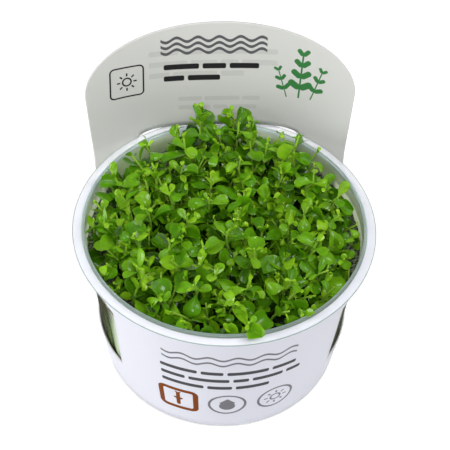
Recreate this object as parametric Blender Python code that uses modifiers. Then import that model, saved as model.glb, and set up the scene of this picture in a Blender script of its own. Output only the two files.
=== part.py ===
"""A carpet plant in its growing cup.

A clear tapered cup with a flat rim holds a plug of growing medium. The plant covers the medium with a low mat
of shoots, and taller sprigs with opposite leaves stand out of the mat. A white sleeve goes round the cup, with a
window at each side and a tall arched board behind.

Metres, +Z up. The origin is the centre of the cup's foot, and the board stands at +Y.
"""

import math
import random

import bmesh
import bpy
from mathutils import Vector
from mathutils.bvhtree import BVHTree

MM = 0.001
GAP = 0.3 * MM  # clearance between pieces that rest on each other
WELD = 0.05 * MM  # points closer than this are one

# Cup
CUP_STEPS = 40
CUP_FLOOR = 1.0 * MM
CUP_WALL = 0.8 * MM
CUP_FOOT_FLAT = 37.8 * MM
CUP_FOOT_RADIUS = 39.3 * MM
CUP_FOOT_ROUND = 1.8 * MM
CUP_TOP_RADIUS = 46.75 * MM
RIM_RADIUS = 50.0 * MM
RIM_UNDERSIDE = 57.4 * MM
RIM_TOP = 58.1 * MM
BEAD_TOP = 59.1 * MM
BEAD_WIDTH = 1.0 * MM
BEAD_ROUND = 0.5 * MM
CUP_SLOPE = (CUP_TOP_RADIUS - CUP_FOOT_RADIUS) / (RIM_UNDERSIDE - CUP_FOOT_ROUND)

# Sleeve
SHEET = 0.5 * MM
SLEEVE_FOOT = 0.9 * MM
SLEEVE_FOOT_RADIUS = 39.75 * MM
SLEEVE_TOP = RIM_UNDERSIDE - GAP - SHEET
SLEEVE_TOP_RADIUS = 48.55 * MM
SLEEVE_SLOPE = (SLEEVE_TOP_RADIUS - SLEEVE_FOOT_RADIUS) / (SLEEVE_TOP - SLEEVE_FOOT)
COLLAR_INNER_RADIUS = 47.35 * MM
WINDOW_SILL = 17.5 * MM
WINDOW_HEAD = 54.9 * MM
WINDOW_CHAMFER = 3.0 * MM
WINDOW_HEAD_ANGLE = math.radians(49.5)  # of its front edge, from the middle of the front panel
WINDOW_SILL_ANGLE = math.radians(54)
WINDOW_CHAMFER_ANGLE = math.radians(4.5)
STRIP_END_ANGLE = math.radians(52)  # of the strip under the rim, from the middle of the back
WINDOW_COLUMNS = 6
STRIP_COLUMNS = 8
FRONT_COLUMNS = 6

# Board of the sleeve
BOARD_FACE = 45.6 * MM  # its front face in the middle, just above the slot
BOARD_LEAN = 0.22
BOARD_HALF_WIDTH = 43.45 * MM  # at the rim
BOARD_WIDENING = 0.104
BOARD_SILL_HALF_WIDTH = 39.2 * MM
BOARD_SIDE_TOP = 77.0 * MM
BOARD_CROWN = 98.9 * MM
BOARD_SAG_LOW = 8.7 * MM  # how far its side edges come forward of the middle
BOARD_SAG_HIGH = 6.3 * MM
BOARD_FLATNESS_LOW = 3.4
BOARD_FLATNESS_HIGH = 2.2
BOARD_BULGE = 2.7 * MM  # the cup's wall pushes the sheet out below the slot
BOARD_LOWEST_RISE = -0.2  # as a share of its height above the rim
BOARD_ROWS = 4
SLOT_FLOOR = 52.6 * MM
SLOT_END_HEIGHT = 55.8 * MM
SLOT_HEAD = 59.7 * MM
SLOT_HEAD_DROP = 1.2 * MM
SLOT_SHARE = 0.648  # of the board's half width
SLOT_SQUARENESS = 8
BOARD_COLUMNS = (0, 0.16, 0.32, 0.46, 0.56, 0.62, SLOT_SHARE, 0.74, 0.84, 0.92, 0.97, 0.99, 1)

# Growing medium
MEDIUM_STEPS = 24
MEDIUM_TOP = 44.0 * MM
MEDIUM_FOOT_ROUND = 2.5 * MM
MEDIUM_RINGS = (14 * MM, 29 * MM)
MEDIUM_LUMP = 0.7 * MM
MEDIUM_WAVE_ACROSS = 44 * MM  # wavelengths of its uneven surface
MEDIUM_WAVE_ALONG = 56 * MM

# Low carpet of shoots
CARPET_STEPS = 30
CARPET_UNDERSIDE = 45.2 * MM
CARPET_RADIUS = 44.2 * MM
CARPET_SHOULDER = 54.6 * MM
CARPET_RINGS = (0.13, 0.33, 0.54, 0.75, 0.92)
CARPET_TAPER = 1.6 * MM
CARPET_BELOW_CANOPY = 6.0 * MM
CARPET_LUMP = 1.3 * MM
TUFT_ACROSS = 3.4 * MM
TUFT_ALONG = 3.9 * MM
TUFT_DRIFT_ACROSS = 7 * MM
TUFT_DRIFT_ALONG = 9 * MM
CORNER_INSET = 3.2 * MM  # how far the mat stops short of the cup in its two back corners
BACK_INSET = 1.2 * MM
EDGE_SCALLOP = 0.5 * MM
EDGE_SCALLOPS = 10

# Canopy, the height that the leaves reach
CANOPY_FRONT = 62.0 * MM
CANOPY_CROWN = 2.5 * MM
CANOPY_BACK_RISE = 9.0 * MM
CANOPY_BACK_START = 4 * MM
CANOPY_BACK_LENGTH = 34 * MM
CANOPY_RADIUS = 44.0 * MM
CANOPY_BACK_CURVE = 1.5

# Sprigs
SPRIG_COUNT = 44
SPRIG_SEED = 5000  # the draws of this seed keep neighbouring sprigs apart
STAND_RADIUS = 38.5 * MM
SPRIG_LEAN = 4.0 * MM
SPRIG_SPREAD = (0, 3.0 * MM)
SPRIG_BEND = 1.4
GOLDEN_ANGLE = math.pi * (3 - math.sqrt(5))
STEM_HALF = 0.5 * MM
NODE_HALF = 0.55 * MM
FOOT_REACH = 0.75 * MM  # how far round a foot the mat's height is felt
LEAF_THICKNESS = 0.5 * MM
# height up the stem, leaf length, leaf width, rise of the leaf, widths at the stations out to the tip
LEAF_PAIRS = (
    (0.36, 6.4 * MM, 4.6 * MM, math.radians(38), ((0.4, 0.92), (0.76, 0.9))),
    (0.68, 5.9 * MM, 4.2 * MM, math.radians(46), ((0.4, 0.92), (0.76, 0.9))),
    (0.95, 3.6 * MM, 2.4 * MM, math.radians(62), ((0.55, 1.0),)),
)
LEAF_ARCHING = math.radians(24)


def material(name, colour, roughness, alpha=1.0, transmission=0.0):
    """A Principled material, with colour as linear red, green and blue."""
    made = bpy.data.materials.new(name)
    made.use_nodes = True
    shader = made.node_tree.nodes["Principled BSDF"]
    shader.inputs["Base Color"].default_value = (*colour, 1)
    shader.inputs["Roughness"].default_value = roughness
    shader.inputs["Metallic"].default_value = 0
    shader.inputs["Transmission Weight"].default_value = transmission
    shader.inputs["Alpha"].default_value = alpha
    made.diffuse_color = (*colour, alpha)
    return made


def add_object(name, mesh, collection, surface):
    """An object in a collection, with one material."""
    made = bpy.data.objects.new(name, mesh)
    made.data.materials.append(surface)
    collection.objects.link(made)
    return made


def cup_radius(height):
    """Outer radius of the cup's wall at a height."""
    return CUP_FOOT_RADIUS + CUP_SLOPE * (height - CUP_FOOT_ROUND)


def sleeve_radius(height):
    """Inner radius of the sleeve's cone at a height."""
    return SLEEVE_FOOT_RADIUS + SLEEVE_SLOPE * (height - SLEEVE_FOOT)


def canopy(x, y):
    """Height of the canopy: a low dome that rises towards the board."""
    radius = min(math.hypot(x, y) / CANOPY_RADIUS, 1)
    back = min(max((y - CANOPY_BACK_START) / CANOPY_BACK_LENGTH, 0), 1)
    return CANOPY_FRONT + CANOPY_CROWN * (1 - radius**2) + CANOPY_BACK_RISE * back**CANOPY_BACK_CURVE


def turned(name, profile, steps, collection, surface):
    """A body turned from a half profile of (radius, height), which runs up its inside and down its outside."""
    mesh = bpy.data.meshes.new(name)
    points = [(radius, 0, height) for radius, height in profile]
    mesh.from_pydata(points, [(i, i + 1) for i in range(len(points) - 1)], [])
    made = add_object(name, mesh, collection, surface)
    screw = made.modifiers.new("Turn", "SCREW")
    screw.axis = "Z"
    screw.steps = steps
    screw.render_steps = steps
    screw.use_merge_vertices = True
    screw.merge_threshold = WELD
    return made


def turned_mesh(name, profile, steps, collection, surface):
    """The same body with its turning applied, so that its points can be moved."""
    made = turned(name, profile, steps, collection, surface)
    bpy.context.view_layer.update()
    graph = bpy.context.evaluated_depsgraph_get()
    applied = bpy.data.meshes.new_from_object(made.evaluated_get(graph))
    made.modifiers.clear()
    made.data = applied
    return made


def make_cup(collection, surface):
    """Foot, tapered wall, raised bead and flat rim, turned in one piece."""
    inner_top = CUP_TOP_RADIUS - CUP_WALL
    profile = (
        (0, CUP_FLOOR),
        (CUP_FOOT_FLAT - CUP_WALL, CUP_FLOOR),
        (cup_radius(CUP_FLOOR + CUP_FOOT_ROUND) - CUP_WALL, CUP_FLOOR + CUP_FOOT_ROUND),
        (inner_top, RIM_UNDERSIDE),
        (inner_top, BEAD_TOP - BEAD_ROUND),
        (inner_top + BEAD_ROUND / 2, BEAD_TOP),
        (inner_top + BEAD_WIDTH - BEAD_ROUND / 2, BEAD_TOP),
        (inner_top + BEAD_WIDTH, RIM_TOP),
        (RIM_RADIUS, RIM_TOP),
        (RIM_RADIUS, RIM_UNDERSIDE),
        (CUP_TOP_RADIUS, RIM_UNDERSIDE),
        (CUP_FOOT_RADIUS, CUP_FOOT_ROUND),
        ((CUP_FOOT_RADIUS + CUP_FOOT_FLAT) / 2, CUP_FOOT_ROUND / 4),
        (CUP_FOOT_FLAT, 0),
        (0, 0),
    )
    return turned("cup", profile, CUP_STEPS, collection, surface)


def medium_lump(x, y):
    """Low waves on the medium's surface."""
    return MEDIUM_LUMP * math.sin(math.tau * x / MEDIUM_WAVE_ACROSS) * math.cos(math.tau * y / MEDIUM_WAVE_ALONG)


def make_medium(collection, surface):
    """A plug that fills the cup up to its uneven surface."""
    clear = CUP_WALL + 2 * GAP
    foot = CUP_FLOOR + MEDIUM_FOOT_ROUND
    profile = [(radius, MEDIUM_TOP) for radius in (0, *MEDIUM_RINGS, cup_radius(MEDIUM_TOP) - clear)]
    profile += [
        (cup_radius(foot) - clear, foot),
        (CUP_FOOT_FLAT - MEDIUM_FOOT_ROUND, CUP_FLOOR + GAP),
        (0, CUP_FLOOR + GAP),
    ]
    made = turned_mesh("growing_medium", profile, MEDIUM_STEPS, collection, surface)
    for vertex in made.data.vertices:
        if vertex.co.z > MEDIUM_TOP - GAP:
            vertex.co.z += medium_lump(vertex.co.x, vertex.co.y)
    return made


def carpet_lump(x, y):
    """Rounded tufts of the low growth, from two crossed waves."""
    across = math.sin(x / TUFT_ACROSS + math.sin(y / TUFT_DRIFT_ALONG))
    along = math.sin(y / TUFT_ALONG + math.sin(x / TUFT_DRIFT_ACROSS))
    return CARPET_LUMP * (across + along) / 2


def carpet_edge(angle):
    """How far the mat reaches at an angle: to the wall in front, and short of it in the two back corners."""
    back = max(math.sin(angle), 0)
    corners = abs(math.sin(2 * angle)) if back else 0
    scallop = abs(math.sin(EDGE_SCALLOPS / 2 * angle))
    return CARPET_RADIUS - CORNER_INSET * corners - BACK_INSET * back - EDGE_SCALLOP * scallop


def make_carpet(collection, surface):
    """The mat of low shoots: one lumpy body from just above the medium to under the canopy."""
    top = CARPET_SHOULDER + MM
    profile = [(share * CARPET_RADIUS, top) for share in (0, *CARPET_RINGS)]
    profile += [
        (CARPET_RADIUS, CARPET_SHOULDER),
        (CARPET_RADIUS - CARPET_TAPER, CARPET_UNDERSIDE),
        (0, CARPET_UNDERSIDE),
    ]
    made = turned_mesh("carpet", profile, CARPET_STEPS, collection, surface)
    for vertex in made.data.vertices:
        place = vertex.co
        angle = math.atan2(place.y, place.x)
        squeeze = carpet_edge(angle) / CARPET_RADIUS
        place.x *= squeeze
        place.y *= squeeze
        if place.z > (CARPET_SHOULDER + top) / 2:
            place.z = canopy(place.x, place.y) - CARPET_BELOW_CANOPY + carpet_lump(place.x, place.y)
    return made


def spread(start, end, columns):
    """Evenly spaced angles, from the first to the last."""
    return [start + (end - start) * i / columns for i in range(columns + 1)]


def on_cone(angle, height, radius=None):
    """A point of the sleeve's cone, at an angle from the middle of the back."""
    reach = sleeve_radius(height) if radius is None else radius
    return Vector((reach * math.sin(angle), reach * math.cos(angle), height))


def board_half_width(height):
    return BOARD_HALF_WIDTH + BOARD_WIDENING * (height - RIM_TOP)


def board_point(share, height):
    """A point of the board's front face: it leans back, its sides curve forward, and it bulges below the slot."""
    rise = min(max((height - RIM_TOP) / (BOARD_CROWN - RIM_TOP), BOARD_LOWEST_RISE), 1)
    sag = BOARD_SAG_LOW + (BOARD_SAG_HIGH - BOARD_SAG_LOW) * rise
    flatness = BOARD_FLATNESS_LOW + (BOARD_FLATNESS_HIGH - BOARD_FLATNESS_LOW) * rise
    across = share * board_half_width(height)
    low = min(max((SLOT_HEAD - height) / (SLOT_HEAD - SLOT_FLOOR), 0), 1)
    bulge = BOARD_BULGE * low * max(1 - (share / SLOT_SHARE) ** 2, 0)
    face = BOARD_FACE + BOARD_LEAN * (height - SLOT_HEAD) + bulge
    return Vector((across, face - sag * (across / BOARD_HALF_WIDTH) ** flatness, height))


def slot_floor(share):
    """Lower edge of the slot, which rounds up to the slot's end."""
    along = min(share / SLOT_SHARE, 1)
    return SLOT_END_HEIGHT - (SLOT_END_HEIGHT - SLOT_FLOOR) * (1 - along**SLOT_SQUARENESS) ** 0.5


def slot_head(share):
    """Upper edge of the slot, a low arch that rounds down to the slot's end."""
    along = min(share / SLOT_SHARE, 1)
    arch = SLOT_HEAD - SLOT_HEAD_DROP * along**2
    return SLOT_END_HEIGHT + (arch - SLOT_END_HEIGHT) * (1 - along**SLOT_SQUARENESS) ** 0.5


def board_top(share):
    """Top edge of the board, half an ellipse over its straight sides."""
    return BOARD_SIDE_TOP + (BOARD_CROWN - BOARD_SIDE_TOP) * math.sqrt(max(1 - share**2, 0))


def make_sleeve(collection, surface):
    """Half of the sheet is lofted between its unlike edges, then mirrored and given its thickness."""
    board_angles = [
        math.asin(share * BOARD_SILL_HALF_WIDTH / sleeve_radius(WINDOW_SILL)) for share in BOARD_COLUMNS
    ]
    sill_corner = math.pi - WINDOW_SILL_ANGLE
    head_corner = math.pi - WINDOW_HEAD_ANGLE
    sill_angles = spread(board_angles[-1], sill_corner, WINDOW_COLUMNS)
    panel_angles = spread(sill_corner, math.pi, FRONT_COLUMNS)
    strip_angles = spread(STRIP_END_ANGLE, head_corner - WINDOW_CHAMFER_ANGLE, STRIP_COLUMNS)
    front_angles = spread(head_corner, math.pi, FRONT_COLUMNS)

    sheet = bmesh.new()

    def row(points):
        return [sheet.verts.new(point) for point in points]

    def join(lower, upper):
        for i in range(len(lower) - 1):
            sheet.faces.new((lower[i], upper[i], upper[i + 1], lower[i + 1]))

    ring = board_angles + sill_angles[1:] + panel_angles[1:]
    upper = strip_angles + front_angles
    foot = row(on_cone(angle, SLEEVE_FOOT) for angle in ring)
    sill = row(on_cone(angle, WINDOW_SILL) for angle in ring)
    join(foot, sill)

    columns = len(BOARD_COLUMNS)
    floor = row(board_point(share, slot_floor(share)) for share in BOARD_COLUMNS)
    join(sill[:columns], floor)
    below = row(board_point(share, slot_head(share)) for share in BOARD_COLUMNS)
    for level in range(1, BOARD_ROWS + 1):
        part = level / BOARD_ROWS
        above = row(
            board_point(share, slot_head(share) * (1 - part) + board_top(share) * part)
            for share in BOARD_COLUMNS
        )
        join(below, above)
        below = above

    shoulder = row(on_cone(angle, WINDOW_HEAD - WINDOW_CHAMFER) for angle in front_angles)
    head = row(on_cone(angle, WINDOW_HEAD) for angle in upper)
    top = row(on_cone(angle, SLEEVE_TOP) for angle in upper)
    collar = row(on_cone(angle, SLEEVE_TOP, COLLAR_INNER_RADIUS) for angle in upper)
    first = len(strip_angles)
    join(sill[-len(front_angles):], shoulder)
    join(shoulder, head[first:])
    sheet.faces.new((shoulder[0], head[first - 1], head[first]))
    join(head, top)
    join(top, collar)

    bmesh.ops.remove_doubles(sheet, verts=sheet.verts, dist=0.001 * MM)
    mesh = bpy.data.meshes.new("sleeve")
    sheet.to_mesh(mesh)
    sheet.free()
    made = add_object("sleeve", mesh, collection, surface)
    mirror = made.modifiers.new("Both sides", "MIRROR")
    mirror.merge_threshold = WELD
    thickness = made.modifiers.new("Sheet", "SOLIDIFY")
    thickness.thickness = SHEET
    thickness.offset = 1
    thickness.use_even_offset = True
    return made


def sprig_plan(index):
    """Foot, top and heading of a sprig: a golden-angle spiral, the canopy's height and one seeded draw."""
    draw = random.Random(SPRIG_SEED + index)
    reach = math.sqrt((index + 0.5) / SPRIG_COUNT)
    angle = index * GOLDEN_ANGLE
    outward = Vector((math.cos(angle), math.sin(angle), 0))
    foot = outward * STAND_RADIUS * reach
    top = foot + outward * SPRIG_LEAN * reach**2
    top.z = canopy(top.x, top.y) + draw.uniform(*SPRIG_SPREAD)
    heading = draw.uniform(0, math.pi)
    size = draw.uniform(0.9, 1.06)
    return foot, top, heading, size


def add_leaf(mesh, face, outward, rise, length, width, stations):
    """Draws a leaf out of one side of the stem: the side's face is pulled out, widened and closed at the tip."""
    side = Vector((-outward.y, outward.x, 0))
    place = face.calc_center_median()
    along = 0
    for share, breadth in (*stations, (1, 0)):
        slope = rise - LEAF_ARCHING * share
        direction = outward * math.cos(slope) + Vector((0, 0, math.sin(slope)))
        upward = direction.cross(side)
        grown = bmesh.ops.extrude_discrete_faces(mesh, faces=[face])["faces"][0]
        middle = grown.calc_center_median()
        place = place + direction * length * (share - along)
        for vertex in grown.verts:
            offset = vertex.co - middle
            half_width = math.copysign(width * breadth / 2, offset.dot(side))
            half_depth = math.copysign(LEAF_THICKNESS / 2, offset.z)
            vertex.co = place + side * half_width + upward * half_depth
        face = grown
        along = share
    bmesh.ops.pointmerge(mesh, verts=list(face.verts), merge_co=place)


def make_sprig(name, plan, foot_height, collection, surface):
    """A square stem with three pairs of leaves, each pair turned a quarter from the one below."""
    foot, top, heading, size = plan
    ahead = Vector((math.cos(heading), math.sin(heading), 0))
    aside = Vector((-ahead.y, ahead.x, 0))
    rise = top.z - foot_height
    node_share = NODE_HALF / rise
    heights = [0]
    for pair in LEAF_PAIRS:
        heights += [pair[0] - node_share, pair[0] + node_share]
    mesh = bmesh.new()
    rings = []
    for share in heights:
        middle = foot.lerp(top, share**SPRIG_BEND)
        middle.z = foot_height + rise * share
        corners = (ahead + aside, aside - ahead, -ahead - aside, ahead - aside)
        rings.append([mesh.verts.new(middle + corner * STEM_HALF) for corner in corners])
    mesh.faces.new(reversed(rings[0]))
    mesh.faces.new(rings[-1])
    for lower, upper in zip(rings, rings[1:]):
        for i in range(4):
            mesh.faces.new((lower[i], lower[i - 3], upper[i - 3], upper[i]))
    mesh.faces.ensure_lookup_table()
    for level, (_, length, width, slope, stations) in enumerate(LEAF_PAIRS):
        for sign in (1, -1):
            outward = (ahead if level % 2 == 0 else aside) * sign
            band = rings[1 + 2 * level] + rings[2 + 2 * level]
            faces = [face for face in mesh.faces if set(face.verts) <= set(band) and len(face.verts) == 4]
            face = max(faces, key=lambda each: each.calc_center_median().dot(outward))
            add_leaf(mesh, face, outward, slope, length * size, width * size, stations)
    made = bpy.data.meshes.new(name)
    mesh.to_mesh(made)
    mesh.free()
    return add_object(name, made, collection, surface)


def make_sprigs(carpet, collection, surface):
    """Every sprig stands just clear of the mat's surface under its own foot."""
    bpy.context.view_layer.update()
    ground = BVHTree.FromObject(carpet, bpy.context.evaluated_depsgraph_get())
    above = BOARD_CROWN
    for index in range(SPRIG_COUNT):
        plan = sprig_plan(index)
        foot = plan[0]
        heights = []
        for x, y in ((-1, -1), (-1, 1), (1, -1), (1, 1), (0, 0)):
            start = Vector((foot.x + x * FOOT_REACH, foot.y + y * FOOT_REACH, above))
            heights.append(ground.ray_cast(start, Vector((0, 0, -1)))[0].z)
        make_sprig(f"sprig_{index + 1:02d}", plan, max(heights) + GAP, collection, surface)


def clear_scene():
    for each in list(bpy.data.objects):
        bpy.data.objects.remove(each)


def main():
    clear_scene()
    collection = bpy.data.collections.new("Carpet plant")
    bpy.context.scene.collection.children.link(collection)
    clear_plastic = material("Clear polypropylene", (0.86, 0.9, 0.88), 0.12, alpha=0.35, transmission=0.9)
    white_sheet = material("White printed sheet", (0.86, 0.86, 0.88), 0.35)
    gel = material("Growing medium", (0.06, 0.06, 0.028), 0.5)
    low_leaf = material("Low leaves", (0.09, 0.2, 0.012), 0.45)
    leaf = material("Leaves", (0.17, 0.36, 0.02), 0.4)
    make_cup(collection, clear_plastic)
    make_sleeve(collection, white_sheet)
    make_medium(collection, gel)
    carpet = make_carpet(collection, low_leaf)
    make_sprigs(carpet, collection, leaf)


main()
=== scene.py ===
"""A carpet plant in its growing cup: the looks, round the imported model."""

import math
import random
from collections import defaultdict

import bmesh
import bpy
import numpy as np
from mathutils import Matrix, Vector


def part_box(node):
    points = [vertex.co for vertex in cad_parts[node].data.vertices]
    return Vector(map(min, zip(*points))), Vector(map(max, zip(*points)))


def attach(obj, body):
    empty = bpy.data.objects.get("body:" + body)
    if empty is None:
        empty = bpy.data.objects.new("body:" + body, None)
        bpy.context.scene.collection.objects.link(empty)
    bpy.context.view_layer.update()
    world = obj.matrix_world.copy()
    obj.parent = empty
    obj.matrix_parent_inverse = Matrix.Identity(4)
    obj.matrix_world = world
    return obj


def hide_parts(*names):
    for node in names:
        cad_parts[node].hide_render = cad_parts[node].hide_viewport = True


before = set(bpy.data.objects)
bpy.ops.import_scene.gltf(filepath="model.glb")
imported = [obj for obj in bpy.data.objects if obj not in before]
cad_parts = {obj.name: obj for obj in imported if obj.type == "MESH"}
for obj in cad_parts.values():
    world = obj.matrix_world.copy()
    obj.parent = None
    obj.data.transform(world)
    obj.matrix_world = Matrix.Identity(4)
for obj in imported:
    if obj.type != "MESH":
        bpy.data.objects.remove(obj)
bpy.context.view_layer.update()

MM = 0.001


# Camera
# A long lens looks down on the plant from the front and a little from the left, with the middle of the cup's
# rim in the middle of the picture.
RIM_TOP = 58.1 * MM
VIEW_DISTANCE = 527.1 * MM
VIEW_AZIMUTH = math.radians(-4.1)
VIEW_ELEVATION = math.radians(48.34)
VIEW_ROLL = math.radians(2.09)
AIM_ASIDE = 0.16 * MM
LENS = 128
SENSOR = 36


def camera_axes():
    """Right, up and back of the camera: elevation, roll about the line of sight, then azimuth about Z."""
    up = Vector((0, math.sin(VIEW_ELEVATION), math.cos(VIEW_ELEVATION)))
    back = Vector((0, -math.cos(VIEW_ELEVATION), math.sin(VIEW_ELEVATION)))
    right = Vector((1, 0, 0))
    rolled_right = math.cos(VIEW_ROLL) * right + math.sin(VIEW_ROLL) * up
    rolled_up = math.cos(VIEW_ROLL) * up - math.sin(VIEW_ROLL) * right
    turn = Matrix.Rotation(VIEW_AZIMUTH, 3, "Z")
    return turn @ rolled_right, turn @ rolled_up, turn @ back


right, up, back = camera_axes()
eye = Vector((0, 0, RIM_TOP)) + back * VIEW_DISTANCE + right * AIM_ASIDE
camera = bpy.data.objects.new("camera", bpy.data.cameras.new("camera"))
camera.data.lens = LENS
camera.data.sensor_width = SENSOR
camera.matrix_world = Matrix.Translation(eye) @ Matrix((right, up, back)).transposed().to_4x4()
bpy.context.scene.collection.objects.link(camera)
bpy.context.scene.camera = camera


# Cup
# A thermoformed cup of clear polypropylene, drawn in one piece: flat foot with a round edge, tapered wall,
# raised bead with two fine ridges, and a thin flat rim.
CUP_STEPS = 288
SHARP_DEGREES = 40
CUP_FLOOR = 0.4 * MM
CUP_FLOOR_RING = 20 * MM
CUP_SKIN = 0.25 * MM
CUP_FOOT_FLAT = 37.8 * MM
CUP_FOOT_RADIUS = 39.3 * MM
CUP_FOOT_ROUND = 1.8 * MM
OUTER_FOOT_INSET = 0.4 * MM
INNER_FOOT_INSET = 0.5 * MM
FOOT_GROOVE = (33.4 * MM, 35.2 * MM)
GROOVE_SIDE = 0.4 * MM
GROOVE_DEPTH = 0.15 * MM
WALL_FOOT = 4 * MM
INNER_WALL = (56.4 * MM, 3.2 * MM)
CUP_TOP_RADIUS = 46.75 * MM
RIM_RADIUS = 50.0 * MM
RIM_UNDERSIDE = 57.4 * MM
FLANGE_UNDERSIDE = 57.7 * MM
FLANGE_FILLET = 0.25 * MM
BEAD_TOP = 59.1 * MM
BEAD_WIDTH = 1.0 * MM
BEAD_INSET = 0.8 * MM
BEAD_FILLET = 0.35 * MM
BEAD_FOOT = 58.2 * MM
BEAD_CHAMFER = (0.15 * MM, 0.4 * MM)
RIM_EDGE = 0.25 * MM
WET_HEIGHT = 54.9 * MM
FOG_FOOT = 48.0 * MM
FOG_START = 6 * MM
ROOTS_END = -14 * MM
ROOT_SPACING = 3.2 * MM
DUST_SPACING = 0.6 * MM
CUP_SLOPE = (CUP_TOP_RADIUS - CUP_FOOT_RADIUS) / (RIM_UNDERSIDE - CUP_FOOT_ROUND)
SWELL_HEIGHTS = np.array([2, 10, 18, 44]) * MM
SWELL = np.array([0, 0.6, 0.8, 0]) * MM


def linear(colour):
    """Linear red, green, blue and alpha of an sRGB hex colour: the gamma curve is undone for each channel."""
    parts = [int(colour[i:i + 2], 16) / 255 for i in (1, 3, 5)]
    return tuple(part / 12.92 if part < 0.04045 else ((part + 0.055) / 1.055) ** 2.4 for part in parts) + (1,)


def add_node(tree, kind, settings=None, links=None):
    """A shader node of a kind.

    Settings are socket values, properties, or a colour ramp's stops, the lowest first. Links join its
    inputs to sockets, or to the first output in use of other nodes.
    """
    made = tree.nodes.new("ShaderNode" + kind)
    for name, value in (settings or {}).items():
        if name == "stops":
            elements = made.color_ramp.elements
            for element, (part, colour) in zip(elements, (value[0], value[-1])):
                element.position = part
                element.color = linear(colour)
            for part, colour in value[1:-1]:
                elements.new(part).color = linear(colour)
        elif isinstance(name, int) or name in made.inputs:
            made.inputs[name].default_value = value
        else:
            setattr(made, name, value)
    for name, source in (links or {}).items():
        if isinstance(source, bpy.types.Node):
            source = next(output for output in source.outputs if output.enabled)
        tree.links.new(source, made.inputs[name])
    return made


def start_material(name):
    """A new material and its empty node tree."""
    made = bpy.data.materials.new(name)
    made.use_nodes = True
    made.node_tree.nodes.clear()
    return made, made.node_tree


def body_faces(rings, around, count=1):
    """Faces of closed bodies, each with rings of points and then one point at each end.

    Quads join each ring to the next, and triangles close both ends. A ring runs anticlockwise about the path.
    """
    ring = np.arange(rings)[:, None] * around
    here = np.arange(around)
    after = (here + 1) % around
    quads = np.stack([ring[:-1] + here, ring[:-1] + after, ring[1:] + after, ring[1:] + here], -1)
    first = np.stack([np.full(around, rings * around), after, here], -1)
    last_ring = (rings - 1) * around
    last = np.stack([np.full(around, rings * around + 1), last_ring + here, last_ring + after], -1)
    start = np.arange(count)[:, None, None] * (rings * around + 2)
    quads = (quads.reshape(1, -1, 4) + start).reshape(-1, 4)
    ends = (np.concatenate([first, last])[None] + start).reshape(-1, 3)
    return quads, ends


def mesh_from(name, points, faces, sharp_degrees=SHARP_DEGREES):
    """A smooth mesh from an array of points and arrays of faces, with edges past an angle kept sharp."""
    mesh = bpy.data.meshes.new(name)
    corners = np.concatenate([group.ravel() for group in faces]).astype(np.int32)
    sizes = np.concatenate([np.full(len(group), group.shape[1]) for group in faces])
    mesh.vertices.add(len(points))
    mesh.vertices.foreach_set("co", np.asarray(points, np.float32).ravel())
    mesh.loops.add(len(corners))
    mesh.loops.foreach_set("vertex_index", corners)
    mesh.polygons.add(len(sizes))
    mesh.polygons.foreach_set("loop_start", (np.cumsum(sizes) - sizes).astype(np.int32))
    mesh.update(calc_edges=True)
    mesh.shade_smooth()
    mesh.set_sharp_from_angle(angle=math.radians(sharp_degrees))
    return mesh


def add_piece(name, mesh, materials, replaced):
    """An object that rides on the one body, takes its finish from a slot and stands for CAD nodes."""
    made = bpy.data.objects.new(name, mesh)
    bpy.context.scene.collection.objects.link(made)
    for material in materials:
        mesh.materials.append(material)
    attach(made, "root")
    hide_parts(*replaced)
    return made


def arc(centre, radius, start, end, count):
    """Points of an arc in the plane of radius and height, from one angle in degrees to another."""
    angles = np.radians(np.linspace(start, end, count))
    return [(centre[0] + radius * math.cos(angle), centre[1] + radius * math.sin(angle)) for angle in angles]


def turned(profile, steps):
    """Points and faces of a turned body: a profile goes round the axis, and its two ends lie on the axis."""
    profile = np.array(profile)
    angles = np.arange(steps) * math.tau / steps
    radii, heights = profile[1:-1, :1], profile[1:-1, 1:]
    rings = np.stack([radii * np.cos(angles), radii * np.sin(angles), heights + 0 * angles], -1)
    ends = [(0, 0, profile[0, 1]), (0, 0, profile[-1, 1])]
    return np.concatenate([rings.reshape(-1, 3), ends]), body_faces(len(radii), steps)


def cup_radius(height):
    """Outer radius of the cup's wall at a height: a cone, swelled by the gel until it meets the sleeve."""
    return CUP_FOOT_RADIUS + CUP_SLOPE * (height - CUP_FOOT_ROUND) + np.interp(height, SWELL_HEIGHTS, SWELL)


def inner_foot(floor, start, end, count):
    """Arc of the round corner inside the cup's foot, down to a floor."""
    return arc((CUP_FOOT_FLAT - INNER_FOOT_INSET, CUP_FOOT_ROUND), CUP_FOOT_ROUND - floor, start, end, count)


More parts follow.
